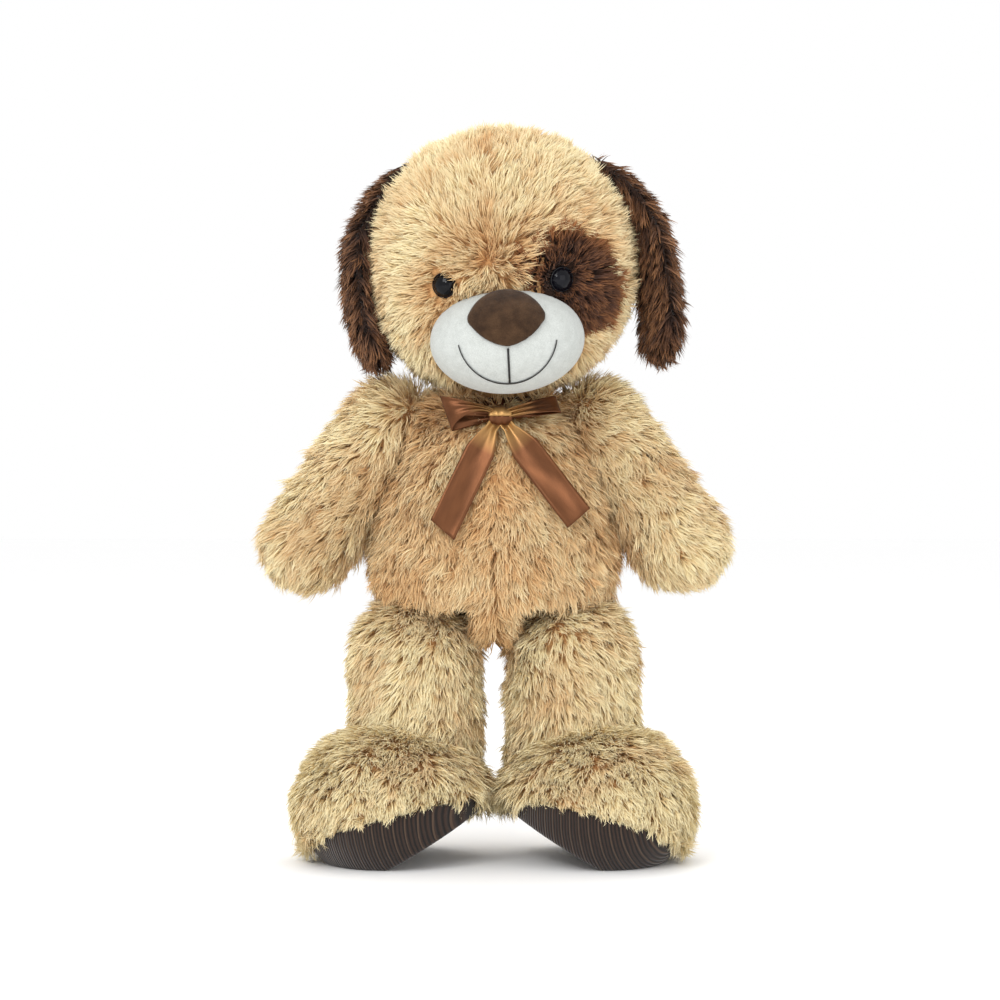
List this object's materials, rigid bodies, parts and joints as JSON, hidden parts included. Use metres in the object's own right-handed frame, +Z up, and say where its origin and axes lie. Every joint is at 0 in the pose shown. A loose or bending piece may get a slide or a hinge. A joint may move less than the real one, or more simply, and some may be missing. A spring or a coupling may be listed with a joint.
{
  "type": "plush dog",
  "caption": "Standing stuffed plush dog with long pile, hanging ears, a patch round one eye, a round muzzle and a satin neck bow.",
  "frame": {"origin": "on the floor under the middle of the bounding box", "axes": "+Z up, -Y the way the dog faces, +X towards its own left side"},
  "size_m": [0.452, 0.3214, 0.7171],
  "materials": {
    "tan_plush": "matte",
    "brown_plush": "matte",
    "white_velour": "matte",
    "nose_velour": "matte",
    "corduroy": "matte",
    "satin": "satin",
    "black_thread": "satin",
    "tan_thread": "satin",
    "filling": "matte",
    "eye_plastic": "gloss",
    "washer_plastic": "matte"
  },
  "bodies": {
    "torso": {"torso_front_panel": "tan_plush", "torso_back_left_panel": "tan_plush", "torso_back_right_panel": "tan_plush", "torso_filling": "filling", "back_closing_stitches": "tan_thread", "neck_ribbon": "satin", "bow_knot": "satin", "left_bow_loop": "satin", "right_bow_loop": "satin"},
    "neck": {"neck_filling": "filling"},
    "head": {"head_front_left_panel": "tan_plush", "head_front_right_panel": "tan_plush", "head_back_panel": "tan_plush", "eye_patch": "brown_plush", "head_filling": "filling", "left_eye": "eye_plastic", "left_eye_washer": "washer_plastic", "right_eye": "eye_plastic", "right_eye_washer": "washer_plastic", "muzzle_cover": "white_velour", "muzzle_filling": "filling", "nose_cover": "nose_velour", "nose_padding": "filling", "smile_stitching": "black_thread", "philtrum_stitching": "black_thread"},
    "tail": {"tail_cover": "brown_plush", "tail_filling": "filling"},
    "left_ear": {"left_ear_outer_panel": "brown_plush", "left_ear_lining": "brown_plush"},
    "left_arm": {"left_arm_front_panel": "tan_plush", "left_arm_back_panel": "tan_plush", "left_arm_filling": "filling"},
    "left_leg": {"left_leg_outer_panel": "tan_plush", "left_leg_inner_panel": "tan_plush", "left_leg_filling": "filling", "left_foot_upper": "tan_plush", "left_foot_filling": "filling", "left_sole": "corduroy"},
    "left_ribbon_tail": {"left_ribbon_tail": "satin"},
    "right_ear": {"right_ear_outer_panel": "brown_plush", "right_ear_lining": "brown_plush"},
    "right_arm": {"right_arm_front_panel": "tan_plush", "right_arm_back_panel": "tan_plush", "right_arm_filling": "filling"},
    "right_leg": {"right_leg_outer_panel": "tan_plush", "right_leg_inner_panel": "tan_plush", "right_leg_filling": "filling", "right_foot_upper": "tan_plush", "right_foot_filling": "filling", "right_sole": "corduroy"},
    "right_ribbon_tail": {"right_ribbon_tail": "satin"}
  },
  "joints": [
    {"name": "neck_turn", "type": "hinge", "parent": "torso", "child": "neck", "pos_m": [0.003, 0.00625, 0.459], "axis": [0, 0, 1], "range_deg": [-20, 20]},
    {"name": "head_nod", "type": "hinge", "parent": "neck", "child": "head", "pos_m": [0.003, 0.00625, 0.459], "axis": [1, 0, 0], "range_deg": [-12, 2]},
    {"name": "tail_wag", "type": "hinge", "parent": "torso", "child": "tail", "pos_m": [0, 0.09425, 0.26], "axis": [0, 0, 1], "range_deg": [-30, 30]},
    {"name": "left_ear_flap", "type": "hinge", "parent": "head", "child": "left_ear", "pos_m": [0.10049, 0.00425, 0.68903], "axis": [0, -1, 0], "range_deg": [0, 75]},
    {"name": "left_shoulder", "type": "hinge", "parent": "torso", "child": "left_arm", "pos_m": [0.104, 0.00625, 0.424], "axis": [-1, 0, 0], "range_deg": [-30, 90]},
    {"name": "left_hip", "type": "hinge", "parent": "torso", "child": "left_leg", "pos_m": [0.078, -0.01375, 0.197], "axis": [-1, 0, 0], "range_deg": [-15, 80]},
    {"name": "left_ribbon_tail_swing", "type": "hinge", "parent": "torso", "child": "left_ribbon_tail", "pos_m": [0.016, -0.07975, 0.4245], "axis": [-1, 0, 0], "range_deg": [0, 60]},
    {"name": "right_ear_flap", "type": "hinge", "parent": "head", "child": "right_ear", "pos_m": [-0.08935, 0.00425, 0.68709], "axis": [0, 1, 0], "range_deg": [0, 75]},
    {"name": "right_shoulder", "type": "hinge", "parent": "torso", "child": "right_arm", "pos_m": [-0.104, 0.00625, 0.424], "axis": [-1, 0, 0], "range_deg": [-30, 90]},
    {"name": "right_hip", "type": "hinge", "parent": "torso", "child": "right_leg", "pos_m": [-0.078, -0.01375, 0.197], "axis": [-1, 0, 0], "range_deg": [-15, 80]},
    {"name": "right_ribbon_tail_swing", "type": "hinge", "parent": "torso", "child": "right_ribbon_tail", "pos_m": [-0.004, -0.07975, 0.4245], "axis": [-1, 0, 0], "range_deg": [0, 60]}
  ]
}
